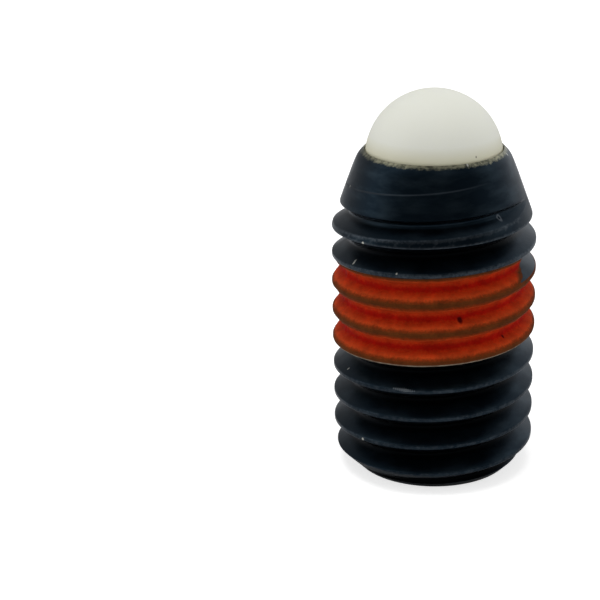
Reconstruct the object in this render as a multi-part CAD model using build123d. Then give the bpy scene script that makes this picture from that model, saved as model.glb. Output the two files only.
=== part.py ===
from build123d import *
from math import cos, pi, radians, sin, sqrt, tan
import os

# Ball-nose spring plunger: a steel body threaded outside, with a spring-loaded ball swaged into its nose.
# Frame: the axis is Z, the origin is the centre of the socket end face, and the ball points up (+Z).
# Lengths are in millimetres and angles in degrees. Angles about the axis run from -Y towards +X.

# External thread: metric 60 degree form, M12 x 1.75, right hand.
THREAD_MAJOR_D = 12.00
THREAD_PITCH = 1.75
FLANK_ANGLE = 30.0  # between each flank and a plane across the axis
CREST_SHARE = 1 / 8  # of the sharp triangle's height, cut off at the crest
ROOT_SHARE = 1 / 6  # of the same height, left flat at the root
FIRST_CREST_Z = 1.40  # height of the lowest crest on the -Y side
THREAD_LENGTH = 16.45  # from the socket end to where the groove's centre starts to climb out
RUN_OUT_TURNS = 0.20  # over which it climbs out of the metal
CUTTER_OVERLAP = 0.08  # of the groove's cutter beyond the crests

# Body.
BODY_LENGTH = 19.45
END_FACE_D = 9.40
END_CHAMFER_ANGLE = 45.0
NOSE_HALF_ANGLE = 19.9
NOSE_END_D = 8.70  # where the nose cone would meet the rim
LIP_ROUND = 0.50  # radius of the lip rolled in towards the ball, between the cone and the rim

# Hexagon socket for the key, broached into a drilled pilot hole.
SOCKET_AF = 6.00
SOCKET_DEPTH = 4.80
SOCKET_MOUTH_D = 8.00
SOCKET_MOUTH_ANGLE = 120.0
PILOT_D = 5.80
PILOT_EXTRA = 0.40  # straight hole left below the hexagon for the broach's chips
DRILL_POINT_ANGLE = 118.0
WEB_THICKNESS = 1.20  # solid metal between the drill point and the bore

# Plastic ball, and the bore that guides it.
BALL_D = 8.00
BORE_CLEARANCE = 0.05  # radial
LIP_RISE = 0.60  # from the seated ball's centre up to the rim
LIP_CLEARANCE = 0.02  # between the seated ball and the edge of the swaged lip

# Compression spring of round wire, with both ends closed and ground flat.
WIRE_D = 0.90
WIRE_SIDES = 8  # of the section that stands for the round wire, which keeps the coil's faces few
SPRING_SIDE_CLEARANCE = 0.25  # radial, in the bore
SPRING_END_CLEARANCE = 0.03  # above the floor, and under the ball
ACTIVE_TURNS = 2.75
CLOSED_TURNS = 0.75  # at each end
COIL_GAP = 0.05  # between neighbouring closed turns
GROUND_SHARE = 0.5  # of the wire, ground away at each tip
POINTS_PER_TURN = 12  # on the coil's centre line

# Nylon locking patch, a film baked into the thread grooves.
PATCH_START_ANGLE = -214.0
PATCH_FIRST_GROOVE = 5  # the lowest filled groove, counted up the -Y side from the socket end
PATCH_TURNS = 2.75
PATCH_THICKNESS = 0.12  # on the flanks
PATCH_POOL_DEPTH = 0.40  # over the root
PATCH_EDGE_DROP = 0.12  # from the crest down to the film's edge on the flank
PATCH_CLEARANCE = 0.01

# Thread form: the sharp triangle of the pitch, cut off flat at the crest and at the root.
flank_slope = tan(radians(FLANK_ANGLE))
major_r = THREAD_MAJOR_D / 2
sharp_height = THREAD_PITCH / 2 / flank_slope
apex_r = major_r - sharp_height * (1 - CREST_SHARE)
minor_r = apex_r + sharp_height * ROOT_SHARE

# Levels along the axis, and what runs in the bore.
pilot_tip_z = SOCKET_DEPTH + PILOT_EXTRA + PILOT_D / 2 / tan(radians(DRILL_POINT_ANGLE / 2))
bore_floor_z = pilot_tip_z + WEB_THICKNESS
ball_r = BALL_D / 2
bore_r = ball_r + BORE_CLEARANCE
ball_z = BODY_LENGTH - LIP_RISE
lip_r = sqrt((ball_r + LIP_CLEARANCE) ** 2 - LIP_RISE**2)
coil_r = bore_r - SPRING_SIDE_CLEARANCE - WIRE_D / 2
spring_seat_z = bore_floor_z + SPRING_END_CLEARANCE
spring_top_z = ball_z - sqrt((ball_r + SPRING_END_CLEARANCE) ** 2 - (coil_r - WIRE_D / 2) ** 2)


def turned(outline):
    """Revolve a closed outline of (radius, height) points about the axis."""
    return revolve(Plane.XZ * make_face(Polyline(*outline, close=True)), Axis.Z)


def standing_cylinder(radius, height, base_z=0.0):
    """A cylinder on the axis that stands on a height."""
    return Pos(0, 0, base_z) * Cylinder(radius, height, align=(Align.CENTER, Align.CENTER, Align.MIN))


def groove_z(groove, angle):
    """Height of a groove's centre line: grooves are counted up the -Y side from 1."""
    return FIRST_CREST_Z + THREAD_PITCH * (groove - 0.5 + angle / 360)


def along_groove(section, start_angle, start_z, turns, end_section=None):
    """Sweep a section, drawn as radius and height, up the thread's helix, or blend it into another."""
    helix = Helix(THREAD_PITCH, THREAD_PITCH * turns, major_r)
    sections = [Plane.XZ * section]
    if end_section is not None:
        sections.append(Rot(0, 0, 360 * turns) * (Pos(0, 0, THREAD_PITCH * turns) * (Plane.XZ * end_section)))
    solid = sweep(sections, path=helix, multisection=end_section is not None, is_frenet=True)
    return Pos(0, 0, start_z) * (Rot(0, 0, start_angle - 90) * solid)


def vee_section(offset, floor_r, outer_r):
    """The groove's flanks moved inwards by an offset, from a flat floor out to a radius."""
    inner_apex_r = apex_r + offset / sin(radians(FLANK_ANGLE))
    floor = (floor_r - inner_apex_r) * flank_slope
    mouth = (outer_r - inner_apex_r) * flank_slope
    corners = [(floor_r, floor), (outer_r, mouth), (outer_r, -mouth), (floor_r, -floor)]
    return make_face(Polyline(*corners, close=True))


def make_thread_cutters():
    """The groove from below the end face to the nose, and the part turn in which it climbs out."""
    cutter = vee_section(0, minor_r, major_r + CUTTER_OVERLAP)
    start_z = groove_z(1, 0) - 2 * THREAD_PITCH
    turns = (THREAD_LENGTH - start_z) / THREAD_PITCH
    climbed_out = Pos(major_r - minor_r, 0) * cutter
    groove = along_groove(cutter, 0, start_z, turns)
    run_out = along_groove(cutter, 360 * turns, THREAD_LENGTH, RUN_OUT_TURNS, climbed_out)
    return [groove, run_out]


def make_envelope():
    """The turned outside of the body: chamfered end, plain cylinder, nose cone and rounded lip."""
    chamfer_top_z = (major_r - END_FACE_D / 2) * tan(radians(END_CHAMFER_ANGLE))
    nose_end = (NOSE_END_D / 2, BODY_LENGTH)
    cone_height = (major_r - NOSE_END_D / 2) / tan(radians(NOSE_HALF_ANGLE))
    outline = [
        (0, 0),
        (END_FACE_D / 2, 0),
        (major_r, chamfer_top_z),
        (major_r, BODY_LENGTH - cone_height),
        nose_end,
        (0, BODY_LENGTH),
    ]
    section = make_face(Polyline(*outline, close=True))
    lip_corner = section.vertices().sort_by_distance(nose_end)[0]
    return revolve(Plane.XZ * fillet(lip_corner, LIP_ROUND), Axis.Z)


def make_bore_tool():
    """The ball's bore: flat floor, a corner that clears the spring, and the lip swaged in at the mouth."""
    corner = SPRING_SIDE_CLEARANCE
    outline = [
        (0, bore_floor_z),
        (bore_r - corner, bore_floor_z),
        (bore_r, bore_floor_z + corner),
        (bore_r, ball_z),
        (lip_r, BODY_LENGTH),
        (0, BODY_LENGTH),
    ]
    return turned(outline)


def make_socket_tool():
    """The metal that the drill, the broach and the countersink take out of the socket end."""
    hexagon = extrude(RegularPolygon(SOCKET_AF / 2, 6, major_radius=False), SOCKET_DEPTH)
    straight = SOCKET_DEPTH + PILOT_EXTRA
    pilot = turned([(0, 0), (PILOT_D / 2, 0), (PILOT_D / 2, straight), (0, pilot_tip_z)])
    mouth_depth = SOCKET_MOUTH_D / 2 / tan(radians(SOCKET_MOUTH_ANGLE / 2))
    mouth = turned([(0, 0), (SOCKET_MOUTH_D / 2, 0), (0, mouth_depth)])
    return hexagon + pilot + mouth


def make_threaded_body():
    """One piece of bar: threaded, turned to its outline, then bored and socketed."""
    rod = standing_cylinder(major_r, BODY_LENGTH)
    for cutter in make_thread_cutters():
        rod -= cutter
    return (rod & make_envelope()) - make_bore_tool() - make_socket_tool()


def make_ball():
    """The ball, seated under the lip."""
    return Pos(0, 0, ball_z) * Sphere(ball_r)


def make_spring():
    """A helix of wire with close turns at both ends, ground flat on the floor and under the ball."""
    grind = (0.5 - GROUND_SHARE) * WIRE_D
    path_height = spring_top_z - spring_seat_z - 2 * grind
    close_pitch = WIRE_D + COIL_GAP
    open_pitch = (path_height - 2 * CLOSED_TURNS * close_pitch) / ACTIVE_TURNS
    turns = ACTIVE_TURNS + 2 * CLOSED_TURNS
    steps = round(turns * POINTS_PER_TURN)
    points = []
    for step in range(steps + 1):
        turn = turns * step / steps
        open_part = min(max(turn - CLOSED_TURNS, 0), ACTIVE_TURNS)
        height = spring_seat_z + grind + open_pitch * open_part + close_pitch * (turn - open_part)
        points.append((coil_r * cos(2 * pi * turn), coil_r * sin(2 * pi * turn), height))
    path = Spline(*points)
    wire = sweep(Plane(path @ 0, z_dir=path % 0) * RegularPolygon(WIRE_D / 2, WIRE_SIDES), path=path)
    return wire & standing_cylinder(bore_r, spring_top_z - spring_seat_z, spring_seat_z)


def make_locking_patch():
    """A helical film on both flanks of the groove, pooled thicker in its root."""
    edge_r = major_r - PATCH_EDGE_DROP
    bed = vee_section(PATCH_CLEARANCE, minor_r + PATCH_CLEARANCE, edge_r)
    surface = vee_section(PATCH_CLEARANCE + PATCH_THICKNESS, minor_r + PATCH_POOL_DEPTH, edge_r)
    start_z = groove_z(PATCH_FIRST_GROOVE, PATCH_START_ANGLE)
    return along_groove(bed - surface, PATCH_START_ANGLE, start_z, PATCH_TURNS)


pieces = {
    "threaded_body": make_threaded_body(),
    "ball": make_ball(),
    "spring": make_spring(),
    "locking_patch": make_locking_patch(),
}
os.makedirs("parts", exist_ok=True)
for name, piece in pieces.items():
    export_step(piece, f"parts/{name}.step")
    print(name, round(piece.volume, 1), "mm3, valid:", piece.is_valid)
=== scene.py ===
"""The looks of a ball-nose spring plunger: threaded steel body, plastic ball, spring and nylon patch."""
import math
from functools import partial

import bpy
from bpy.props import FloatProperty, IntProperty, PointerProperty, StringProperty
from mathutils import Matrix, Vector, noise


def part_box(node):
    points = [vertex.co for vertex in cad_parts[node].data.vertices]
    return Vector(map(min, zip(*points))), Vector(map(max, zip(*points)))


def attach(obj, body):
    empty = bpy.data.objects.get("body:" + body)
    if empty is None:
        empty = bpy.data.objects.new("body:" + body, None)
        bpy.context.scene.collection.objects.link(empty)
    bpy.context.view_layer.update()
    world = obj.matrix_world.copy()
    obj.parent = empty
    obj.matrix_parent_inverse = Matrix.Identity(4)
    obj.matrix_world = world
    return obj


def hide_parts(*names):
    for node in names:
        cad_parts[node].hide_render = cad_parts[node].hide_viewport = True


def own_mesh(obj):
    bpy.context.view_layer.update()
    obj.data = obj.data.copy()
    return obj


bl_info = {
    "name": "Spring plunger",
    "version": (1, 0, 0),
    "blender": (4, 5, 0),
    "location": "3D View > Sidebar > Plunger",
    "description": "Builds the visible pieces of a ball-nose spring plunger around its CAD frame",
    "category": "Object",
}

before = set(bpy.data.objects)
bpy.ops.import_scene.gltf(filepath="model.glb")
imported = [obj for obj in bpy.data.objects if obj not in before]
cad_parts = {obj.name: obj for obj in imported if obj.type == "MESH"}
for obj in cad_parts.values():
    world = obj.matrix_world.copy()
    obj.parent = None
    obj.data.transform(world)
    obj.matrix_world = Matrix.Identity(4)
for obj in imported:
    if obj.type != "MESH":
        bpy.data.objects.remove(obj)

MM = 0.001
BODY_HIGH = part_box("threaded_body")[1]
BALL_LOW, BALL_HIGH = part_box("ball")
SPRING_LOW, SPRING_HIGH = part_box("spring")
MAJOR_R = BODY_HIGH.x
BODY_LENGTH = BODY_HIGH.z
BALL_R = (BALL_HIGH.z - BALL_LOW.z) / 2
BALL_Z = (BALL_HIGH.z + BALL_LOW.z) / 2
FRONT = math.radians(-90)  # the direction of -Y, from which angles round the thread are counted
CUT_TOLERANCE = 1e-8  # metres
MERGE_DISTANCE = 1e-7  # metres


def length(name, description, millimetres):
    """A size that the user can set, shown in the scene's unit of length."""
    return FloatProperty(name=name, description=description, default=millimetres * MM, unit="LENGTH",
                         subtype="DISTANCE")


def angle(name, description, degrees):
    """An angle that the user can set."""
    return FloatProperty(name=name, description=description, default=math.radians(degrees), subtype="ANGLE")


def number(name, description, default):
    """A plain number that the user can set."""
    return FloatProperty(name=name, description=description, default=default)


def count(name, description, default):
    """A whole number that the user can set."""
    return IntProperty(name=name, description=description, default=default)


def colour(name, description, code):
    """A colour that the user can set, written as an sRGB hex code."""
    return StringProperty(name=name, description=description, default=code)


class ThreadSizes(bpy.types.PropertyGroup):
    """The external thread."""
    pitch: length("Pitch", "Height of one turn of the thread", 1.75)
    first_crest: length("First crest", "Height of the lowest crest on the front", 1.40)
    flank: angle("Flank angle", "Between a flank and a plane across the axis", 30)
    crest_share: number("Crest share", "Part of the sharp height cut off", 1 / 8)
    root_share: number("Root share", "Part of the sharp height left flat", 1 / 6)
    crest_round: length("Crest rounding", "Width over which the crest's edges are rounded", 0.035)
    root_round: length("Root rounding", "Width over which the root's corners are rounded", 0.18)
    end: length("Thread end", "Height at which the groove starts to climb out", 16.45)
    run_out: length("Run-out", "Height over which the groove climbs out of the metal", 0.35)
    steps: count("Steps", "Faces in one turn, a multiple of six", 180)


class BodySizes(bpy.types.PropertyGroup):
    """The turned shape of the body, its bore and its socket."""
    end_face_r: length("End face radius", "Where the end chamfer starts", 4.70)
    chamfer: angle("End chamfer", "Angle of the chamfer at the socket end", 45)
    chamfer_blend: length("Chamfer blend", "How softly the chamfer meets the crests", 0.02)
    nose: angle("Nose angle", "Half angle of the nose cone", 19.9)
    nose_blend: length("Nose blend", "How softly the nose cone meets the crests", 0.05)
    rim_r: length("Rim radius", "The nose cone's radius at the rim", 4.35)
    edge_r: length("Lip edge radius", "Outside of the lip at its very edge", 4.08)
    roll: angle("Lip angle", "Lean of the lip's edge towards the ball", 48)
    roll_blend: length("Lip blend", "How softly the cone runs into the lip", 0.20)
    lip_r: length("Lip radius", "Edge of the swaged lip", 3.975)
    lip_break: length("Lip break", "Corner rubbed off the lip's inner edge", 0.085)
    bore_r: length("Bore radius", "Bore that guides the ball", 4.05)
    bore_floor: length("Bore floor", "Height of the bore's floor", 8.1425)
    bore_corner: length("Bore corner", "Chamfer round the bore's floor", 0.25)
    socket_flat: length("Socket size", "Across the flats of the hexagon", 6.0)
    socket_depth: length("Socket depth", "Depth of the hexagon", 4.8)
    mouth_r: length("Mouth radius", "Radius of the socket's countersink", 4.0)
    mouth_break: length("Mouth break", "Corner broken at the countersink's rim", 0.04)
    mouth: angle("Mouth angle", "Half angle of the countersink", 60)
    pilot_r: length("Pilot radius", "Drilled hole under the hexagon", 2.9)
    pilot_depth: length("Pilot depth", "Straight depth of the drilled hole", 5.2)
    drill: angle("Drill point", "Half angle of the drill point", 59)
    join: length("Join height", "Where the threaded part meets the plain nose", 17.5)


class WearSizes(bpy.types.PropertyGroup):
    """Rubbed and oily places on the body."""
    lip: length("Lip wear", "Height over which the lip is rubbed", 0.31)
    # The crests' wear also lightens them as painted highlight lines.
    crest: length("Crest wear", "Width over which a crest's edges are rubbed", 0.10)
    least: number("Least wear", "Wear of the crests at the socket end", 0.62)
    most: number("Most wear", "Wear of the crests near the nose, which enters the hole first", 0.86)
    # A painted highlight runs along this step.
    trace: length("Trace", "Height on the front of the step that the threading roll left", 18.10)
    trace_climb: length("Trace climb", "How far that step climbs in one radian", 0.42)


class PatchSizes(bpy.types.PropertyGroup):
    """The nylon film in the thread."""
    lowest_crest: count("Lowest crest", "Crest on which the film ends below, counted from the lowest", 4)
    grooves: count("Grooves", "Grooves that the film fills", 3)
    flank: length("Flank film", "Radial thickness on the flanks", 0.24)
    pool: length("Root film", "Radial thickness over the root", 0.40)
    crest: length("Crest film", "Radial thickness over the crests", 0.02)
    sag: length("Sag", "How far the film sagged before it set", 0.14)
    sheet: length("Sheet", "Thickness of the modelled sheet", 0.03)
    border: length("Border", "Width over which the film thins out", 0.12)
    top_gap: length("Top gap", "From the film's upper border to the crest above it", 0.16)
    overhang: length("Overhang", "How far the film hangs below its lowest crest", 0.25)
    fade: number("Fade", "Steepness of the film's ends, against its borders", 0.25)
    left_turn: number("Left end", "Turns from the front to the film's left end", 0.42)
    right_turn: number("Right end", "Turns from the front to the film's right end", 0.35)
    short_turn: number("Short end", "The same in the highest groove, where the film ends sooner", 0.25)
    short_x: length("Short reach", "How far to the right the film reaches in the highest groove", 4.75)


class SpringSizes(bpy.types.PropertyGroup):
    """The wire spring under the ball."""
    wire: length("Wire", "Diameter of the wire", 0.9)
    active_turns: number("Active turns", "Open turns", 2.75)
    closed_turns: number("Closed turns", "Close turns at each end", 0.75)
    closed_gap: length("Closed gap", "Gap between neighbouring close turns", 0.05)
    points: count("Points", "Points in one turn of the wire", 24)


class Finishes(bpy.types.PropertyGroup):
    """Colours of the finishes."""
    oxide: colour("Black oxide", "Blackened steel", "#17222b")
    oxide_thin: colour("Thin oxide", "Paler patches of the blackening", "#36434c")
    # The next colour is rubbed steel, and also that of painted highlights: the crest lines, the glint's tail
    # and the line along the step up the nose.
    oxide_worn_and_highlight: colour("Worn oxide", "Rubbed edges of the blackened steel", "#636a71")
    # The next colour is painted shade, drawn deep in the thread's roots.
    root_painted_shade: colour("Oil in the roots", "Blackened steel under old oil", "#06080a")
    # The next colour is bare steel, and also the painted glint on a crest.
    bare_and_glint: colour("Bare steel", "Bright specks where the blackening is gone", "#c4c4bc")
    lip: colour("Rubbed lip", "Oily brown-grey edge round the ball", "#96957f")
    lip_dark: colour("Dirty lip", "Oil and dirt between the rubbed grains", "#5c5d50")
    patch_crest: colour("Film on the crest", "Thin film over the blackened crests", "#5a2d10")
    patch_edge: colour("Film by the crest", "Where the film thins out", "#7a3010")
    patch_flank: colour("Film on the flank", "Nylon film on the flanks", "#b23f18")
    patch_deep: colour("Film low on the flank", "Nylon film towards the root", "#b5300e")
    patch_root: colour("Film in the root", "Nylon film pooled in the groove", "#a01002")
    patch_pit: colour("Pit in the film", "Pinholes in the film", "#4a0404")
    # The next colour is a painted highlight along the film's lower edge.
    patch_edge_highlight: colour("Hem of the film", "Thin, pale lower edge of the film", "#a39c8a")
    ball: colour("Ball", "Plastic ball", "#e3e4da")
    # The next colour is painted shade and warm bounce light on the ball near the lip.
    ball_lip_bounce: colour("Oily ball", "The ball near the lip, with a trace of oil", "#d2cfb4")
    spring: colour("Spring", "Spring wire", "#a8a8a6")
    floor: colour("Table", "Light table under the plunger", "#dcdcdc")


class StageSizes(bpy.types.PropertyGroup):
    """Camera, lights and floor."""
    target: length("Target height", "Height that the camera is aimed about", 9.65)
    distance: length("Distance", "From the camera to the target", 97.70)
    elevation: angle("Elevation", "Camera above the horizon", 20.35)
    roll: angle("Roll", "Turn of the camera about its line of sight", 1.45)
    aside: length("Aside", "How far the camera stands to the left", 7.96)
    above: length("Above", "How far the camera stands above that line", 0.35)
    lens: number("Lens", "Focal length in millimetres", 98.03)
    light_aim: length("Light aim", "Height that the softboxes face", 10)
    floor_r: length("Floor radius", "Radius of the round floor, which is open under the plunger", 450)
    floor_lap: length("Floor lap", "How far the floor reaches in under the end face", 0.2)
    floor_drop: length("Floor drop", "Gap under the end face, too small to see", 0.02)
    glow: number("Floor glow", "Light that the table gives by itself", 0.66)


GROUPS = {
    "plunger_thread": ThreadSizes,
    "plunger_body": BodySizes,
    "plunger_wear": WearSizes,
    "plunger_patch": PatchSizes,
    "plunger_spring": SpringSizes,
    "plunger_finish": Finishes,
    "plunger_stage": StageSizes,
}


# Modelling by hand: small steps that several pieces share.


def start_piece(name, primitive, **settings):
    """Add a primitive with nothing else selected, and name it."""
    bpy.ops.object.select_all(action="DESELECT")
    primitive(**settings)
    piece = bpy.context.object
    piece.name = name
    piece.data.name = name
    return piece


def edit(piece, mode="VERT", select="SELECT"):
    """Enter edit mode on one piece, with all of it selected or nothing."""
    bpy.ops.object.select_all(action="DESELECT")
    bpy.context.view_layer.objects.active = piece
    piece.select_set(True)
    bpy.ops.object.mode_set(mode="EDIT")
    bpy.ops.mesh.select_mode(type=mode)
    bpy.ops.mesh.select_all(action=select)


def leave_edit():
    """Go back to object mode."""
    bpy.ops.object.mode_set(mode="OBJECT")


def move_points(piece, place):
    """Move each vertex of a piece to the place that a function gives it."""
    for vertex in piece.data.vertices:
        vertex.co = place(vertex.co)
    piece.data.update()


def at_radius(place, radius, height):
    """The point in the same direction from the axis as a place, at another radius and height."""
    flat = Vector((place.x, place.y, 0)).normalized() * radius
    return Vector((flat.x, flat.y, height))


def extrude_in_place():
    """Extrude what is selected without moving it."""
    bpy.ops.mesh.extrude_region_move(TRANSFORM_OT_translate={"value": (0, 0, 0)})


def extrude_ring(radius_from, radius_to, z_from, z_to):
    """Extrude the selected ring about the axis to another radius and height."""
    bpy.ops.mesh.extrude_region_move(TRANSFORM_OT_translate={"value": (0, 0, z_to - z_from)})
    share = radius_to / radius_from
    bpy.ops.transform.resize(value=(share, share, 1), center_override=(0, 0, z_to))


def extrude_outline(outline):
    """Extrude the selected ring through a list of (radius, height), from the first to the last."""
    for (radius_from, z_from), (radius_to, z_to) in zip(outline, outline[1:]):
        extrude_ring(radius_from, radius_to, z_from, z_to)


def close_pole(height):
    """Close the selected ring with a fan that meets on the axis at a height."""
    extrude_in_place()
    bpy.ops.transform.resize(value=(0, 0, 1), center_override=(0, 0, height))
    bpy.ops.mesh.merge(type="CENTER")


def clean(piece, smooth_degrees=38):
    """Merge doubles, turn the faces outwards and smooth all but the sharp edges."""
    edit(piece)
    bpy.ops.mesh.remove_doubles(threshold=MERGE_DISTANCE)
    bpy.ops.mesh.normals_make_consistent(inside=False)
    leave_edit()
    bpy.ops.object.shade_smooth_by_angle(angle=math.radians(smooth_degrees))


def finish_piece(piece, node, body, material):
    """Give a piece its material and its body, and hide its CAD node."""
    piece.data.materials.clear()
    piece.data.materials.append(material)
    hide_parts(node)
    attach(piece, body)


def write_attribute(piece, name, value_at):
    """Store a number from 0 to 1 at each vertex, for a material to read."""
    layer = piece.data.attributes.new(name, "FLOAT", "POINT")
    layer.data.foreach_set("value", [value_at(vertex.co) for vertex in piece.data.vertices])


# The thread's shape.


def smooth_min(a, b, width):
    """The lesser of two lengths, rounded where they meet."""
    return (a + b - math.sqrt((a - b) ** 2 + width ** 2)) / 2


def smooth_max(a, b, width):
    """The greater of two lengths, rounded where they meet."""
    return -smooth_min(-a, -b, width)


def ramp(value, low, high):
    """From 0 at low to 1 at high, with a soft start and end."""
    share = min(max((value - low) / (high - low), 0), 1)
    return share * share * (3 - 2 * share)


class Thread:
    """Works out the thread's surface from its sizes and the body's envelope."""

    def __init__(self, scene):
        self.sizes = scene.plunger_thread
        self.body = scene.plunger_body
        self.pitch = self.sizes.pitch
        self.half = self.pitch / 2
        self.slope = math.tan(self.sizes.flank)
        sharp = self.half / self.slope
        self.apex_r = MAJOR_R - sharp * (1 - self.sizes.crest_share)
        self.floor_r = self.apex_r + sharp * self.sizes.root_share
        self.floor_half = (self.floor_r - self.apex_r) * self.slope
        self.mouth_half = (MAJOR_R - self.apex_r) * self.slope
        self.nose_slope = math.tan(self.body.nose)

    def envelope(self, z):
        """Radius of the turned body at a height."""
        chamfer = self.body.end_face_r + z / math.tan(self.body.chamfer)
        nose = self.body.rim_r + (BODY_LENGTH - z) * self.nose_slope
        chamfered = smooth_min(MAJOR_R, chamfer, self.body.chamfer_blend)
        return smooth_min(chamfered, nose, self.body.nose_blend)

    def turn_of(self, place):
        """Share of a turn from the front, from -0.5 to 0.5."""
        turn = (math.atan2(place.y, place.x) - FRONT) / math.tau
        return (turn + 0.5) % 1 - 0.5

    def crest_height(self, number, turn):
        """Height of a crest, counted up from the lowest on the front, at a share of a turn from there."""
        return self.sizes.first_crest + (number + turn) * self.pitch

    def groove_at(self, place):
        """Height of the nearest groove's centre line at a place, and how far above it the place lies."""
        base = self.sizes.first_crest - self.half + self.pitch * self.turn_of(place)
        centre = base + round((place.z - base) / self.pitch) * self.pitch
        return centre, place.z - centre

    def climb(self, centre):
        """How far the groove has climbed out at a height of its centre line: gently, then straight."""
        gentle = 1.4
        share = (centre - self.sizes.end) / self.sizes.run_out
        depth = MAJOR_R - self.floor_r
        return depth * (max(share, 0) ** gentle if share < 1 else share * gentle - (gentle - 1))

    def edge_half(self, centre, offset):
        """Half width of the groove, on an offset's side, where its flank meets the envelope: 18 halvings."""
        low, high = 0.0, self.half
        side = 1 if offset >= 0 else -1
        lift = self.apex_r + self.climb(centre)
        for _ in range(18):
            middle = (low + high) / 2
            if lift + middle / self.slope > self.envelope(centre + side * middle):
                high = middle
            else:
                low = middle
        return low

    def section(self, centre, offset):
        """Radius of the thread at an offset from the centre of its groove."""
        lift = self.climb(centre)
        flank = self.apex_r + lift + abs(offset) / self.slope
        radius = smooth_max(self.floor_r + lift, flank, self.sizes.root_round)
        return smooth_min(radius, self.envelope(centre + offset), self.sizes.crest_round)

    def placed(self, place):
        """Where a point of the plain thread lies on the real one, with its rows kept on the edges."""
        centre, offset = self.groove_at(place)
        edge = self.edge_half(centre, offset)
        plain = (0, self.floor_half, self.mouth_half, self.half)
        real = (0, min(self.floor_half, edge * 0.6), edge, self.half)  # a shallow groove keeps wide flanks
        span = (abs(offset) > self.floor_half) + (abs(offset) > self.mouth_half)
        share = (abs(offset) - plain[span]) / (plain[span + 1] - plain[span])
        moved = math.copysign(real[span] + share * (real[span + 1] - real[span]), offset)
        return at_radius(place, self.section(centre, moved), centre + moved)

    def rows(self):
        """Offsets of the rows of points across half a pitch, close together at the edges."""
        near = self.sizes.crest_round
        floor, mouth = self.floor_half, self.mouth_half
        flank = [floor + (mouth - floor) * share for share in (0.15, 0.35, 0.6)]
        edge = [mouth + near * share for share in (-2.2, -1, -0.4, 0.4, 1)]
        return [0, floor * 0.5, floor, *flank, *edge, self.half]


def draw_pitch(name, thread):
    """Extrude one vertex along a pitch of the thread's section, and screw it up the axis."""
    half_rows = thread.rows()
    offsets = [-offset for offset in reversed(half_rows[1:])] + half_rows
    turns_below = 2
    start = thread.crest_height(-turns_below, 0) - thread.half
    full_groove = thread.crest_height(4.5, 0)  # far from both ends, where the groove has its full depth
    points = [Vector((0, -thread.section(full_groove, offset), start + offset)) for offset in offsets]
    piece = start_piece(name, bpy.ops.mesh.primitive_plane_add, size=MM, location=points[0])
    bpy.ops.object.transform_apply(location=True)
    edit(piece)
    bpy.ops.mesh.merge(type="CENTER")
    for lower, upper in zip(points, points[1:]):
        bpy.ops.mesh.extrude_region_move(TRANSFORM_OT_translate={"value": upper - lower})
    leave_edit()
    screw = piece.modifiers.new("helix", "SCREW")
    screw.axis = "Z"
    screw.screw_offset = thread.pitch
    screw.iterations = math.ceil(thread.body.join / thread.pitch) + turns_below + 1
    screw.steps = thread.sizes.steps
    screw.render_steps = thread.sizes.steps
    screw.use_merge_vertices = True
    screw.merge_threshold = MERGE_DISTANCE
    bpy.ops.object.modifier_apply(modifier=screw.name)
    return piece


def cut_level(piece, height, upper):
    """Cut a piece at a height, drop what is above or what is below, and stay in edit mode on the cut ring."""
    edit(piece)
    bpy.ops.mesh.bisect(plane_co=(0, 0, height), plane_no=(0, 0, 1), threshold=CUT_TOLERANCE,
                        clear_outer=upper, clear_inner=not upper)


def nose_outline(body, thread):
    """Radii and heights from the join over the rim and lip, down the bore to its floor."""
    rings, crowding = 24, 0.7  # rings up the nose, closer together towards the lip

    def cone(z):
        return body.rim_r + (BODY_LENGTH - z) * thread.nose_slope

    def rolled(z):
        """How far the lip is rolled in from the cone."""
        lip = body.edge_r + (BODY_LENGTH - z) * math.tan(body.roll)
        return cone(z) - smooth_min(cone(z), lip, body.roll_blend)

    levels = [body.join + (BODY_LENGTH - body.join) * (ring / rings) ** crowding for ring in range(rings + 1)]
    outer = [(cone(z) - rolled(z) + rolled(body.join), z) for z in levels]
    inner = [
        (body.lip_r + body.lip_break * 0.6, BODY_LENGTH - body.lip_break * 0.15),
        (body.lip_r, BODY_LENGTH - body.lip_break),
        (body.bore_r, BALL_Z),
        (body.bore_r, body.bore_floor + body.bore_corner),
        (body.bore_r - body.bore_corner, body.bore_floor),
        (body.bore_r * 0.5, body.bore_floor),
        (body.bore_r * 0.1, body.bore_floor),
    ]
    return outer + inner


def make_socket(piece, body):
    """Countersink, hexagon, pilot hole and drill point, extruded from the end face's ring."""
    edge = body.mouth_break
    extrude_outline([(body.end_face_r, 0), (body.mouth_r + edge, 0), (body.mouth_r - edge * 0.5, edge * 0.5)])

    def extrude_shaped(radius_at, height_at):
        """Extrude the selected ring, and give each of its points a radius and the height for that radius."""
        extrude_in_place()
        leave_edit()
        for vertex in piece.data.vertices:
            if vertex.select:
                radius = radius_at(vertex.co)
                vertex.co = at_radius(vertex.co, radius, height_at(radius))
        bpy.ops.object.mode_set(mode="EDIT")

    def hexagon(place):
        """Radius of the hexagon, which has corners on the X axis, in the direction of a point."""
        turn = math.atan2(place.y, place.x) % math.radians(60)
        return body.socket_flat / 2 / math.cos(turn - math.radians(30))

    extrude_shaped(hexagon, lambda radius: (body.mouth_r - radius) / math.tan(body.mouth))
    extrude_shaped(hexagon, lambda radius: body.socket_depth * 0.5)
    extrude_shaped(hexagon, lambda radius: body.socket_depth)
    extrude_shaped(lambda place: body.pilot_r, lambda radius: body.socket_depth)
    drill_slope = math.tan(body.drill)
    tip = body.pilot_depth + body.pilot_r / drill_slope
    near_tip = body.pilot_r * 0.05
    extrude_outline([(body.pilot_r, body.socket_depth), (body.pilot_r, body.pilot_depth),
                     (near_tip, tip - near_tip / drill_slope)])
    close_pole(tip)
    leave_edit()


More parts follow.
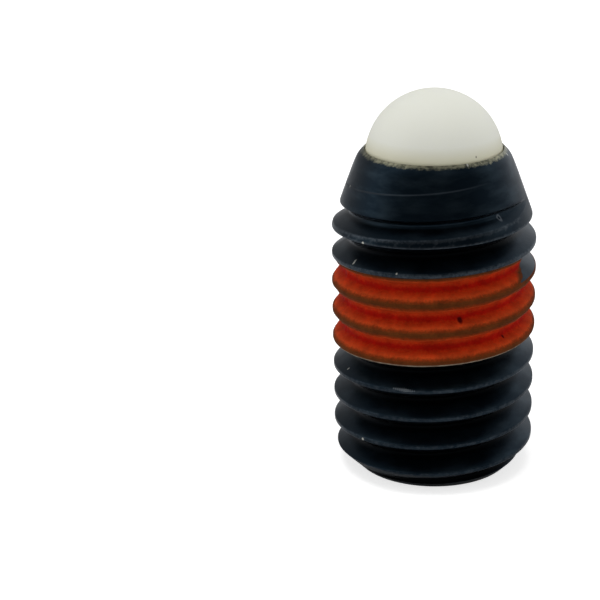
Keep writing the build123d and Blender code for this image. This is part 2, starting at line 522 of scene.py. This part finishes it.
WEAR_RISE = (11 * MM, 15 * MM)  # heights over which the crests' wear, which also paints their highlight lines, grows to its most
WEAR_FADE = (15.9 * MM, 16.4 * MM)  # heights over which it fades out
ROOT_SHADE_DEPTH = (0.06 * MM, 0.35 * MM)  # heights above the root, from full painted shade to none
ROOT_SHADE_FADE = (15.6 * MM, 16.2 * MM)  # heights over which the painted shade in the root fades out


class OBJECT_OT_plunger_body(bpy.types.Operator):
    """Build the threaded steel body with its nose, bore and socket"""
    bl_idname = "object.plunger_body"
    bl_label = "Threaded body"

    def execute(self, context):
        thread = Thread(context.scene)
        body = context.scene.plunger_body
        wear = context.scene.plunger_wear
        piece = draw_pitch("blackened_body", thread)
        move_points(piece, thread.placed)
        cut_level(piece, body.join, upper=True)
        extrude_outline(nose_outline(body, thread))
        close_pole(body.bore_floor)
        leave_edit()
        cut_level(piece, 0, upper=False)
        make_socket(piece, body)
        clean(piece)

        def lip_wear(place):
            """How close a point is to the edge of the lip that the ball rubs."""
            outside = math.hypot(place.x, place.y) > body.lip_r - CUT_TOLERANCE
            return max(0, 1 - (BODY_LENGTH - place.z) / wear.lip) if outside else 0

        def crest_wear_and_highlight(place):
            """How much a point of the thread's crests is rubbed and lightened as a painted highlight line:
            most near the nose.
            """
            centre, offset = thread.groove_at(place)
            edge = thread.edge_half(centre, offset)
            if math.hypot(place.x, place.y) < body.end_face_r or edge <= thread.floor_half:
                return 0
            into_flank = edge - abs(offset)
            past_land = abs(offset) - edge - (thread.half - thread.mouth_half)
            far = max(into_flank, past_land * 0.5, 0)
            risen = wear.least + (wear.most - wear.least) * ramp(place.z, *WEAR_RISE)
            share = max(risen - ramp(place.z, *WEAR_FADE), 0)
            return share * max(0, 1 - far / wear.crest)

        def root_painted_shade(place):
            """How deep a point lies in the groove, where painted shade darkens the steel and hides its shine.
            """
            above = math.hypot(place.x, place.y) - thread.floor_r
            in_bore_or_socket = above < -0.05 * MM
            return 0 if in_bore_or_socket else (1 - ramp(above, *ROOT_SHADE_DEPTH)) * (1 - ramp(place.z, *ROOT_SHADE_FADE))

        write_attribute(piece, "root_painted_shade", root_painted_shade)
        write_attribute(piece, "crest_wear_and_highlight", crest_wear_and_highlight)
        write_attribute(piece, "lip_wear", lip_wear)
        finish_piece(piece, "threaded_body", "housing", black_oxide(context.scene))
        return {"FINISHED"}


class Film:
    """Works out the nylon film's surface over the thread."""
    BUILD_UP = (0.02 * MM, 0.22 * MM)  # distances from a crest over which it gains its full thickness
    POOL_BLEND = 0.08 * MM  # how softly the root's film meets the flanks'
    UNEVEN, UNEVEN_GRAIN = 0.25, 0.35 * MM  # share by which its thickness wanders, and over what size
    RAGGED, RAGGED_GRAIN = 0.05 * MM, 0.5 * MM  # how far its border wanders, and over what size
    FRACTAL = (0.8, 2.0, 3)  # the border's noise: falloff, step in scale and number of layers
    TUCK = 0.05 * MM  # how far the sheet's edge goes under the steel
    RISE = (-0.6, 0.8)  # the cover over which the sheet comes up from there
    HEM_HIGHLIGHT = (0.13 * MM, 0.18 * MM)  # heights above the lower border over which the painted highlight along the edge ends
    LAND = 0.13 * MM  # from a crest's centre line to where the groove above it starts

    def __init__(self, scene):
        self.thread = Thread(scene)
        self.sizes = scene.plunger_patch

    def lower_border(self, turn):
        """Height at which the film ends below, just under the edge of a crest."""
        return self.thread.crest_height(self.sizes.lowest_crest, turn) - self.sizes.overhang

    def hem_highlight(self, place):
        """1 along the film's lower edge, where a painted highlight runs, and 0 above."""
        return 1 - ramp(place.z - self.lower_border(self.thread.turn_of(place)), *self.HEM_HIGHLIGHT)

    def cover(self, place):
        """From -1 well outside the film to 1 well inside it."""
        sizes = self.sizes
        turn = self.thread.turn_of(place)
        around = math.tau * MAJOR_R
        rough = noise.fractal(place / self.RAGGED_GRAIN, *self.FRACTAL) * self.RAGGED
        last_crest = sizes.lowest_crest + sizes.grooves
        top = self.thread.crest_height(last_crest, turn) - sizes.top_gap + rough
        bottom = self.lower_border(turn) + rough * 0.5
        left = ((sizes.left_turn + turn) * around + rough * 6) * sizes.fade
        right = ((sizes.right_turn - turn) * around + rough * 6) * sizes.fade
        over_last_crest = place.z - self.thread.crest_height(last_crest - 1, turn)
        if over_last_crest > self.LAND and turn > 0:  # in the highest groove, on the front's right half
            reach = sizes.short_x - place.x + rough * 2
            right = min(reach, (sizes.short_turn - turn) * around) * sizes.fade
        nearest = min(top - place.z, place.z - bottom, left, right)
        return min(max(nearest / sizes.border, -1), 1)

    def thickness(self, place):
        """Radial thickness: least on the crests, more on the flanks, and most over the root."""
        sizes, thread = self.sizes, self.thread
        centre, offset = thread.groove_at(place)
        inside = max(thread.edge_half(centre, offset) - abs(offset), 0)
        flank = sizes.crest + (sizes.flank - sizes.crest) * ramp(inside, *self.BUILD_UP)
        pool = thread.floor_r + sizes.pool - math.hypot(place.x, place.y)
        uneven = 1 + self.UNEVEN * noise.noise(place / self.UNEVEN_GRAIN)
        return smooth_max(flank, pool, self.POOL_BLEND) * uneven

    def surface(self, place):
        """A point of the thread moved onto the film: over the steel inside its border, tucked in outside."""
        lift = (self.thickness(place) + self.TUCK) * ramp(self.cover(place), *self.RISE) - self.TUCK
        return at_radius(place, math.hypot(place.x, place.y) + lift, place.z)

    def depth(self, place):
        """From 0 on a crest's centre line to 1 where the film lies thickest, a little below the groove's."""
        half, sag = self.thread.half, self.sizes.sag
        above = self.thread.groove_at(place)[1] + sag
        return 1 - (above / (half + sag) if above > 0 else -above / (half - sag))


class OBJECT_OT_plunger_patch(bpy.types.Operator):
    """Build the nylon locking patch as a film over the thread"""
    bl_idname = "object.plunger_patch"
    bl_label = "Locking patch"

    def execute(self, context):
        film = Film(context.scene)
        piece = draw_pitch("nylon_patch", film.thread)
        move_points(piece, film.thread.placed)
        write_attribute(piece, "groove_depth", film.depth)
        write_attribute(piece, "film_cover", lambda place: max(film.cover(place), 0))
        write_attribute(piece, "film_edge_highlight", film.hem_highlight)
        covered = [film.cover(vertex.co) > -0.99 for vertex in piece.data.vertices]
        move_points(piece, film.surface)
        edit(piece, "FACE", "DESELECT")
        leave_edit()
        for polygon in piece.data.polygons:
            polygon.select = not any(covered[index] for index in polygon.vertices)
        bpy.ops.object.mode_set(mode="EDIT")
        bpy.ops.mesh.delete(type="FACE")
        bpy.ops.mesh.select_mode(type="VERT")
        for _ in range(3):  # points where only corners meet would leave the sheet's edge open
            bpy.ops.mesh.select_all(action="DESELECT")
            bpy.ops.mesh.select_non_manifold(use_wire=True, use_boundary=False, use_multi_face=True,
                                             use_non_contiguous=False, use_verts=True)
            bpy.ops.mesh.delete(type="VERT")
        leave_edit()
        clean(piece, smooth_degrees=60)
        solid = piece.modifiers.new("thickness", "SOLIDIFY")
        solid.thickness = film.sizes.sheet
        solid.offset = -1
        bpy.ops.object.modifier_apply(modifier=solid.name)
        finish_piece(piece, "locking_patch", "housing", nylon_film(context.scene))
        return {"FINISHED"}


class OBJECT_OT_plunger_ball(bpy.types.Operator):
    """Build the plastic ball"""
    bl_idname = "object.plunger_ball"
    bl_label = "Ball"

    def execute(self, context):
        cuts = 39  # across each side of the cube that becomes the ball
        ripple, ripples = 0.0004, 2.2  # tumbling leaves it this far out of round, in waves this dense
        centre = Vector((0, 0, BALL_Z))
        piece = start_piece("nose_ball", bpy.ops.mesh.primitive_cube_add, size=2 * BALL_R, location=centre)
        bpy.ops.object.transform_apply(location=True)
        edit(piece)
        bpy.ops.mesh.subdivide(number_cuts=cuts)
        leave_edit()

        def round_off(place):
            """Where a point of the cube lies on the ball, with its faces kept even in size."""
            spoke = (place - centre) / BALL_R
            even = Vector([math.tan(value * math.pi / 4) for value in spoke])
            return centre + even.normalized() * BALL_R * (1 - ripple * noise.noise(even * ripples))

        move_points(piece, round_off)
        clean(piece, smooth_degrees=80)
        finish_piece(piece, "ball", "ball", acetal(context.scene))
        return {"FINISHED"}


class OBJECT_OT_plunger_spring(bpy.types.Operator):
    """Build the wire spring under the ball"""
    bl_idname = "object.plunger_spring"
    bl_label = "Spring"

    def execute(self, context):
        scene = context.scene
        sizes = scene.plunger_spring
        coil_r = SPRING_HIGH.x - sizes.wire / 2
        low, high = SPRING_LOW.z, SPRING_HIGH.z
        close_pitch = sizes.wire + sizes.closed_gap
        turns = sizes.active_turns + 2 * sizes.closed_turns
        open_pitch = (high - low - 2 * sizes.closed_turns * close_pitch) / sizes.active_turns
        bpy.ops.object.select_all(action="DESELECT")
        bpy.ops.curve.primitive_nurbs_path_add(location=(0, 0, 0))
        piece = bpy.context.object
        piece.name = "spring_wire"
        curve = piece.data
        curve.splines.clear()
        spline = curve.splines.new("NURBS")
        spaces = round(turns * sizes.points)
        spline.points.add(spaces)
        for index, point in enumerate(spline.points):
            turn = turns * index / spaces
            open_part = min(max(turn - sizes.closed_turns, 0), sizes.active_turns)
            height = low + open_pitch * open_part + close_pitch * (turn - open_part)
            point.co = (coil_r * math.cos(math.tau * turn), coil_r * math.sin(math.tau * turn), height, 1)
        spline.order_u = 3
        spline.use_endpoint_u = True
        spline.resolution_u = 2
        curve.dimensions = "3D"
        curve.bevel_depth = sizes.wire / 2
        curve.bevel_resolution = 4
        curve.use_fill_caps = True
        bpy.ops.object.convert(target="MESH")
        # The ends are ground flat.
        move_points(piece, lambda place: Vector((place.x, place.y, min(max(place.z, low), high))))
        clean(piece, smooth_degrees=40)
        finish_piece(piece, "spring", "housing", spring_wire(scene))
        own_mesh(piece)
        return {"FINISHED"}


# Finishes. The oxide's grit, the nylon's powder, the drawing marks and the grain of ball and table are finer
# in reality: each is drawn as coarse as it needs to show.

SHARE, UNDER, OVER = 0, 6, 7  # a colour Mix node's inputs: how much of the second colour lies over the first


def linear(code):
    """An sRGB hex colour as linear red, green, blue and full alpha."""
    parts = [int(code[index:index + 2], 16) / 255 for index in (1, 3, 5)]
    return (*[part / 12.92 if part <= 0.04045 else ((part + 0.055) / 1.055) ** 2.4 for part in parts], 1.0)


def grey(level):
    """A grey with the same linear red, green and blue."""
    return (level, level, level, 1.0)


def add_node(tree, kind, inputs=None, **settings):
    """Add a node with its settings; each input is set to a value or linked to a socket or a node's result."""
    node = tree.nodes.new("ShaderNode" + kind)
    for name, value in settings.items():
        setattr(node, name, value)
    for key, value in (inputs or {}).items():
        if isinstance(value, bpy.types.Node):
            value = next(socket for socket in value.outputs if socket.enabled)
        if isinstance(value, bpy.types.NodeSocket):
            tree.links.new(value, node.inputs[key])
        else:
            node.inputs[key].default_value = value
    return node


def new_material(name):
    """A material, add_node for its own empty tree, and the object's coordinates."""
    material = bpy.data.materials.new(name)
    material.use_nodes = True
    material.node_tree.nodes.clear()
    node = partial(add_node, material.node_tree)
    return material, node, node("TexCoord").outputs["Object"]


def unroll(node, place):
    """Angle from the front in radians, height, and the two as a flat map of the outside in metres."""
    axes = node("SeparateXYZ", {0: place})
    forward = node("Math", {0: axes.outputs["Y"], 1: -1.0}, operation="MULTIPLY")
    turn = node("Math", {0: axes.outputs["X"], 1: forward}, operation="ARCTAN2")
    arc = node("Math", {0: turn, 1: MAJOR_R}, operation="MULTIPLY")
    flat = node("CombineXYZ", {"X": arc, "Z": axes.outputs["Z"]})
    return turn, axes.outputs["Z"], flat


def spot_mask(node, flat, spots):
    """A mask of round spots on the flat map: degrees from the front, height and radius in millimetres."""
    mask = 0.0
    for degrees, height, radius in spots:
        centre = Vector((math.radians(degrees) * MAJOR_R, 0, height * MM))
        away = node("VectorMath", {0: flat, 1: centre}, operation="DISTANCE")
        spot = node("MapRange", {"Value": away, "From Min": radius * MM, "From Max": radius * 0.5 * MM})
        mask = node("Math", {0: mask, 1: spot}, operation="MAXIMUM")
    return mask


# Small marks of handling, and a painted glint with its fainter tail, listed: degrees from the front, height
# and radius in millimetres.
SCRATCH = [(-57 + step * 0.4, 13.70 - step * 0.05, 0.07) for step in range(3)]
# A painted highlight: a glint along a crest, and its fainter tail.
PAINTED_GLINT = [(-20 + step * 0.6, 6.65, 0.075 - 0.012 * abs(step)) for step in range(-3, 4)]
PAINTED_GLINT_TAIL = [(-21 + step * 1.2, 6.65, 0.11 - 0.01 * abs(step)) for step in range(-5, 6)]
NICKS = [(-77, 17.55, 0.08), (-67, 6.65, 0.06), (-47, 15.05, 0.10), (-25, 13.65, 0.06), (-48, 2.90, 0.10),
         (22, 19.40, 0.10), (73, 19.25, 0.10)]
BURR = (41, 16.30, 0.20)
BURR_HOLLOW = (41, 16.30, 0.11)
FILM_PITS = [(11, 10.80, 0.20), (42, 9.20, 0.11)]
BALL_SPECK = (32, 19.70, 0.08)


def black_oxide(scene):
    """Turned steel, blackened in hot salts and oiled: near black, with a blue-grey sheen and rubbed edges."""
    finish, wear = scene.plunger_finish, scene.plunger_wear
    worn_and_highlight, bare_and_glint = linear(finish.oxide_worn_and_highlight), linear(finish.bare_and_glint)
    material, node, place = new_material("black_oxide_steel")
    turn, height, flat = unroll(node, place)
    # oil carries painted shade for the thread's roots.
    edge, lip, oil = [node("Attribute", attribute_name=name).outputs["Fac"]
                      for name in ("crest_wear_and_highlight", "lip_wear", "root_painted_shade")]
    mottle = node("TexNoise", {"Vector": place, "Scale": 1 / (1.6 * MM), "Detail": 4.0})
    grit = node("TexNoise", {"Vector": place, "Scale": 1 / (0.22 * MM), "Detail": 6.0, "Roughness": 0.65})
    flecks = node("TexNoise", {"Vector": place, "Scale": 1 / (0.35 * MM), "Detail": 2.0})

    # Rubbed crests, lightened also as painted highlight lines, with a few flecks where the blackening is gone
    # on them and on the lip.
    rub = node("Math", {0: edge, 1: grit}, operation="MULTIPLY")
    rubbed = node("MapRange", {"Value": rub, "From Min": 0.26, "From Max": 0.90})
    either = node("Math", {0: edge, 1: lip}, operation="MAXIMUM")
    bright = node("Math", {0: either, 1: flecks}, operation="MULTIPLY")
    specks = node("MapRange", {"Value": bright, "From Min": 0.70, "From Max": 0.74})

    # The lip, rubbed by the ball: grains of two tones with a ragged lower border.
    ragged = node("Math", {0: grit, 1: 1.2, 2: -0.6}, operation="MULTIPLY_ADD")
    lip_edge = node("Math", {0: lip, 1: ragged}, operation="ADD")
    lipped = node("MapRange", {"Value": lip_edge, "From Min": 0.30, "From Max": 0.70})
    speckle = node("TexNoise", {"Vector": place, "Scale": 1 / (0.25 * MM), "Detail": 5.0})
    grains = node("MapRange", {"Value": speckle, "From Min": 0.38, "From Max": 0.58})
    lip_tone = node("Mix", {SHARE: grains, UNDER: linear(finish.lip_dark), OVER: linear(finish.lip)},
                    data_type="RGBA")

    # Paler streaks along the turning, and what lies over the oxide, from the lowest coat to the highest,
    # among them painted shade in the roots and painted highlights.
    streaks = node("Mapping", {"Vector": place, "Scale": (0.5, 0.5, 1.6)})
    patches = node("TexNoise", {"Vector": streaks, "Scale": 1 / (0.9 * MM), "Detail": 3.0})
    paler = node("MapRange", {"Value": patches, "From Min": 0.45, "From Max": 0.75, "To Max": 0.5})
    tone = linear(finish.oxide)
    coats = (
        (paler, linear(finish.oxide_thin)),
        (oil, linear(finish.root_painted_shade)),
        (rubbed, worn_and_highlight),
        (lipped, lip_tone),
        (specks, bare_and_glint),
        # Marks, among them the painted glint and its tail.
        (spot_mask(node, flat, [*NICKS, *SCRATCH, *PAINTED_GLINT]), bare_and_glint),
        (spot_mask(node, flat, [BURR, *PAINTED_GLINT_TAIL]), worn_and_highlight),
        (spot_mask(node, flat, [BURR_HOLLOW]), linear(finish.oxide)),
    )
    for share, over in coats:
        tone = node("Mix", {SHARE: share, UNDER: tone, OVER: over}, data_type="RGBA")

    # The last trace of the threading roll: a faint step that winds up the nose and fades out, with a painted
    # highlight along it.
    line = node("Math", {0: turn, 1: -wear.trace_climb, 2: -wear.trace}, operation="MULTIPLY_ADD")
    above = node("Math", {0: height, 1: line}, operation="ADD")
    ends = node("MapRange", {"Value": turn, "From Min": 0.65, "From Max": 0.2})
    step = node("MapRange", {"Value": above, "From Min": -0.05 * MM, "From Max": 0.05 * MM},
                interpolation_type="SMOOTHSTEP")
    trace = node("Math", {0: step, 1: ends}, operation="MULTIPLY")
    off = node("Math", {0: above}, operation="ABSOLUTE")
    # sheen is a painted highlight along the step.
    sheen = node("MapRange", {"Value": off, "From Min": 0.07 * MM, "From Max": 0.0, "To Max": 0.22})
    step_highlight = node("Math", {0: sheen, 1: ends}, operation="MULTIPLY")
    tone = node("Mix", {SHARE: step_highlight, UNDER: tone, OVER: worn_and_highlight}, data_type="RGBA")

    rough = node("MapRange", {"Value": mottle, "From Min": 0.3, "From Max": 0.7, "To Min": 0.28,
                              "To Max": 0.42})
    stepped = node("Bump", {"Height": trace, "Strength": 1.0, "Distance": 0.05 * MM}, invert=True)
    bump = node("Bump", {"Height": grit, "Strength": 0.3, "Distance": 0.01 * MM, "Normal": stepped})
    shader = node("BsdfPrincipled", {"Base Color": tone, "Metallic": 1.0, "Roughness": rough, "Normal": bump,
                                     "Specular Tint": (0.95, 0.97, 1.0, 1.0)})
    node("OutputMaterial", {"Surface": shader})
    return material


def nylon_film(scene):
    """Nylon powder fused onto the thread: matt and gritty, orange, red in roots and brown on crests."""
    finish = scene.plunger_finish
    crest_tone = linear(finish.patch_crest)
    material, node, place = new_material("fused_nylon_film")
    depth, cover, hem_highlight = [node("Attribute", attribute_name=name).outputs["Fac"]
                         for name in ("groove_depth", "film_cover", "film_edge_highlight")]
    grit = node("TexNoise", {"Vector": place, "Scale": 1 / (0.13 * MM), "Detail": 5.0, "Roughness": 0.6})
    drift = node("TexNoise", {"Vector": place, "Scale": 1 / (1.1 * MM), "Detail": 2.0})
    blotch = node("TexNoise", {"Vector": place, "Scale": 1 / (0.7 * MM), "Detail": 4.0, "Roughness": 0.7})

    # The tone goes by the depth in the groove, shifted a little by grit and by slow drifts.
    fine = node("Math", {0: grit, 1: 0.38, 2: -0.19}, operation="MULTIPLY_ADD")
    wide = node("Math", {0: drift, 1: 0.16, 2: -0.08}, operation="MULTIPLY_ADD")
    shift = node("Math", {0: fine, 1: wide}, operation="ADD")
    level = node("Math", {0: depth, 1: shift}, operation="ADD")
    tones = node("ValToRGB", {"Fac": level})
    stops = tones.color_ramp.elements
    stops[0].position, stops[0].color = 0.12, crest_tone
    stops[1].position, stops[1].color = 0.92, linear(finish.patch_root)
    for position, code in ((0.27, finish.patch_edge), (0.44, finish.patch_flank), (0.72, finish.patch_deep)):
        stops.new(position).color = linear(code)

    # The film thins out to brown at its ends and is uneven in strength, with pinholes and a broken painted
    # highlight along its lower edge.
    border = node("Math", {0: cover, 1: fine}, operation="ADD")
    thick = node("MapRange", {"Value": border, "From Min": 0.4, "From Max": 1.0})
    tone = node("Mix", {SHARE: thick, UNDER: crest_tone, OVER: tones}, data_type="RGBA")
    uneven = node("MapRange", {"Value": blotch, "From Min": 0.3, "From Max": 0.7, "To Min": 0.72,
                               "To Max": 1.22})
    shade = node("VectorMath", {0: tone, "Scale": uneven}, operation="SCALE")
    pits = spot_mask(node, unroll(node, place)[2], FILM_PITS)
    pitted = node("Mix", {SHARE: pits, UNDER: shade, OVER: linear(finish.patch_pit)}, data_type="RGBA")
    broken = node("MapRange", {"Value": blotch, "From Min": 0.35, "From Max": 0.6, "To Min": 0.2,
                               "To Max": 0.9})
    # pale is the painted highlight along the film's lower edge, broken up.
    pale = node("Math", {0: hem_highlight, 1: broken}, operation="MULTIPLY")
    edge_highlighted = node("Mix", {SHARE: pale, UNDER: pitted, OVER: linear(finish.patch_edge_highlight)}, data_type="RGBA")
    bump = node("Bump", {"Height": grit, "Strength": 0.5, "Distance": 0.02 * MM})
    shader = node("BsdfPrincipled", {"Base Color": edge_highlighted, "Roughness": 0.7, "Specular IOR Level": 0.05,
                                     "Normal": bump})
    node("OutputMaterial", {"Surface": shader})
    return material


def acetal(scene):
    """Moulded and tumbled acetal: warm off-white, matt, letting a little light in under its surface."""
    finish = scene.plunger_finish
    material, node, place = new_material("tumbled_acetal")
    _, height, flat = unroll(node, place)
    # oily is painted shade and warm bounce light towards the lip.
    oily = node("MapRange", {"Value": height, "From Min": BODY_LENGTH + 0.9 * MM, "From Max": BODY_LENGTH})
    tone = node("Mix", {SHARE: oily, UNDER: linear(finish.ball), OVER: linear(finish.ball_lip_bounce)},
                data_type="RGBA")
    specked = node("Mix", {SHARE: spot_mask(node, flat, [BALL_SPECK]), UNDER: tone,
                           OVER: linear(finish.lip_dark)}, data_type="RGBA")
    fine = node("TexNoise", {"Vector": place, "Scale": 1 / (0.3 * MM), "Detail": 3.0})
    bump = node("Bump", {"Height": fine, "Strength": 0.1, "Distance": 0.01 * MM})
    shader = node("BsdfPrincipled", {"Base Color": specked, "Roughness": 0.5, "Normal": bump,
                                     "Subsurface Weight": 0.3, "Subsurface Scale": 0.8 * MM,
                                     "Subsurface Radius": (1.0, 1.0, 0.85)})
    node("OutputMaterial", {"Surface": shader})
    return material


def spring_wire(scene):
    """Drawn music wire: bright grey with fine drawing marks."""
    material, node, place = new_material("drawn_spring_wire")
    marks = node("TexNoise", {"Vector": place, "Scale": 1 / (0.2 * MM), "Detail": 3.0})
    rough = node("MapRange", {"Value": marks, "To Min": 0.25, "To Max": 0.45})
    steel = linear(scene.plunger_finish.spring)
    shader = node("BsdfPrincipled", {"Base Color": steel, "Metallic": 1.0, "Roughness": rough})
    node("OutputMaterial", {"Surface": shader})
    return material


def light_table(scene):
    """Opal acrylic lit from below: white, matt, with only a faint shadow. Seen from below it is clear."""
    material, node, place = new_material("lit_opal_acrylic")
    fine = node("TexNoise", {"Vector": place, "Scale": 1 / (0.5 * MM)})
    rough = node("MapRange", {"Value": fine, "To Min": 0.85, "To Max": 0.95})
    seen = node("LightPath").outputs["Is Camera Ray"]
    glow = node("Math", {0: seen, 1: scene.plunger_stage.glow}, operation="MULTIPLY")
    opal = node("BsdfPrincipled", {"Base Color": linear(scene.plunger_finish.floor), "Roughness": rough,
                                   "Specular IOR Level": 0.0, "Emission Color": grey(1),
                                   "Emission Strength": glow})
    clear = node("BsdfTransparent")
    below = node("NewGeometry").outputs["Backfacing"]
    mixed = node("MixShader", {0: below, 1: opal, 2: clear})
    node("OutputMaterial", {"Surface": mixed})
    return material


# The stage.

# The softboxes: name, place, width and height in metres, and power in watts.
SOFTBOXES = (
    ("left_softbox", (-0.20, -0.05, 0.10), 0.10, 0.20, 0.10),
    ("right_softbox", (0.20, -0.05, 0.10), 0.10, 0.20, 0.10),
    ("top_softbox", (-0.02, 0.0, 0.25), 0.16, 0.16, 0.28),
)
# How bright the reflected room is along its walls, from the front wall at 0 to the back wall at 1.
LEFT_WALL = ((0.0, 0.14), (0.24, 0.20), (0.36, 0.60), (0.48, 1.2), (0.60, 1.0), (0.72, 0.6), (0.84, 0.42),
             (1.0, 0.24))
RIGHT_WALL = ((0.0, 0.14), (0.24, 0.20), (0.40, 0.50), (0.50, 0.65), (0.70, 0.95), (0.85, 0.95), (1.0, 0.7))
CEILING = 0.35
AMBIENT = 0.42


def add_softbox(name, place, aim, width, height, power):
    """An area light that faces a point."""
    light = bpy.data.lights.new(name, "AREA")
    light.shape = "RECTANGLE"
    light.size, light.size_y = width, height
    light.energy = power
    lamp = bpy.data.objects.new(name, light)
    bpy.context.scene.collection.objects.link(lamp)
    lamp.location = place
    lamp.rotation_euler = (Vector(aim) - Vector(place)).to_track_quat("-Z", "Y").to_euler()
    lamp.visible_glossy = False  # reflections come from the room alone


def studio_world():
    """A white room with soft light, whose reflections are dark in front and brighter beside and behind."""
    world = bpy.data.worlds.new("studio")
    world.use_nodes = True
    world.node_tree.nodes.clear()
    node = partial(add_node, world.node_tree)
    path = node("LightPath")
    way = node("SeparateXYZ", {0: node("TexCoord").outputs["Generated"]})
    along = node("MapRange", {"Value": way.outputs["Y"], "From Min": -1.0, "From Max": 1.0})
    walls = []
    for first, *others in (LEFT_WALL, RIGHT_WALL):
        wall = node("ValToRGB", {"Fac": along})
        stops = wall.color_ramp.elements
        stops.remove(stops[1])
        stops[0].position, stops[0].color = first[0], grey(first[1])
        for position, level in others:
            stops.new(position).color = grey(level)
        walls.append(wall)
    across = node("MapRange", {"Value": way.outputs["X"], "From Min": -0.3, "From Max": 0.3})
    room = node("Mix", {SHARE: across, UNDER: walls[0], OVER: walls[1]}, data_type="RGBA")

    # The ceiling, over the middle of the room only.
    raised = node("MapRange", {"Value": way.outputs["Z"], "From Min": 0.4, "From Max": 0.8})
    aside = node("Math", {0: way.outputs["X"]}, operation="ABSOLUTE")
    middle = node("MapRange", {"Value": aside, "From Min": 0.6, "From Max": 0.25})
    overhead = node("Math", {0: raised, 1: middle}, operation="MULTIPLY")
    lidded = node("Mix", {SHARE: overhead, UNDER: room, OVER: grey(CEILING)}, data_type="RGBA")

    mirrored = node("Background", {"Color": lidded})
    ambient = node("Background", {"Color": grey(1), "Strength": AMBIENT})
    white = node("Background", {"Color": grey(1), "Strength": 1.0})
    unseen = node("MixShader", {0: path.outputs["Is Glossy Ray"], 1: ambient, 2: mirrored})
    seen = node("MixShader", {0: path.outputs["Is Camera Ray"], 1: unseen, 2: white})
    node("OutputWorld", {"Surface": seen})
    return world


class OBJECT_OT_plunger_stage(bpy.types.Operator):
    """Set the floor, the lights and the camera"""
    bl_idname = "object.plunger_stage"
    bl_label = "Stage"

    def execute(self, context):
        scene = context.scene
        stage = scene.plunger_stage
        window = scene.plunger_body.end_face_r - stage.floor_lap
        level = -stage.floor_drop
        floor = start_piece("floor", bpy.ops.mesh.primitive_circle_add, vertices=96, radius=window,
                            location=(0, 0, level))
        bpy.ops.object.transform_apply(location=True)
        edit(floor, "EDGE")
        extrude_ring(window, stage.floor_r, level, level)
        leave_edit()
        if floor.data.polygons[0].normal.z < 0:
            floor.data.flip_normals()
        floor.data.materials.append(light_table(scene))

        for name, place, width, height, power in SOFTBOXES:
            add_softbox(name, place, (0, 0, stage.light_aim), width, height, power)
        scene.world = studio_world()
        scene.view_settings.view_transform = "Standard"

        data = bpy.data.cameras.new("camera")
        data.lens = stage.lens
        data.sensor_width = 36
        data.clip_start = MM
        camera = bpy.data.objects.new("camera", data)
        scene.collection.objects.link(camera)
        camera.matrix_world = (
            Matrix.Translation((0, 0, stage.target))
            @ Matrix.Rotation(math.radians(90) - stage.elevation, 4, "X")
            @ Matrix.Rotation(-stage.roll, 4, "Z")
            @ Matrix.Translation((-stage.aside, stage.above, stage.distance)))
        scene.camera = camera
        return {"FINISHED"}


PIECES = (OBJECT_OT_plunger_body, OBJECT_OT_plunger_patch, OBJECT_OT_plunger_ball, OBJECT_OT_plunger_spring)
OPERATORS = (*PIECES, OBJECT_OT_plunger_stage)


class VIEW3D_PT_plunger(bpy.types.Panel):
    """Lists the plunger's sizes and the steps that build it"""
    bl_idname = "VIEW3D_PT_plunger"
    bl_label = "Spring plunger"
    bl_space_type = "VIEW_3D"
    bl_region_type = "UI"
    bl_category = "Plunger"

    def draw(self, context):
        for operator in OPERATORS:
            self.layout.operator(operator.bl_idname)
        for name, group in GROUPS.items():
            box = self.layout.box()
            box.label(text=group.__doc__)
            for size in group.__annotations__:
                box.prop(getattr(context.scene, name), size)


def register():
    for cls in (*GROUPS.values(), *OPERATORS, VIEW3D_PT_plunger):
        bpy.utils.register_class(cls)
    for name, group in GROUPS.items():
        setattr(bpy.types.Scene, name, PointerProperty(type=group))


def unregister():
    for name in GROUPS:
        delattr(bpy.types.Scene, name)
    for cls in reversed((*GROUPS.values(), *OPERATORS, VIEW3D_PT_plunger)):
        bpy.utils.unregister_class(cls)


def main():
    """Register the tools, then build every piece and the stage."""
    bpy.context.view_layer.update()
    register()
    bpy.ops.object.plunger_body()
    bpy.ops.object.plunger_patch()
    bpy.ops.object.plunger_ball()
    bpy.ops.object.plunger_spring()
    bpy.ops.object.plunger_stage()


if __name__ == "__main__":
    main()
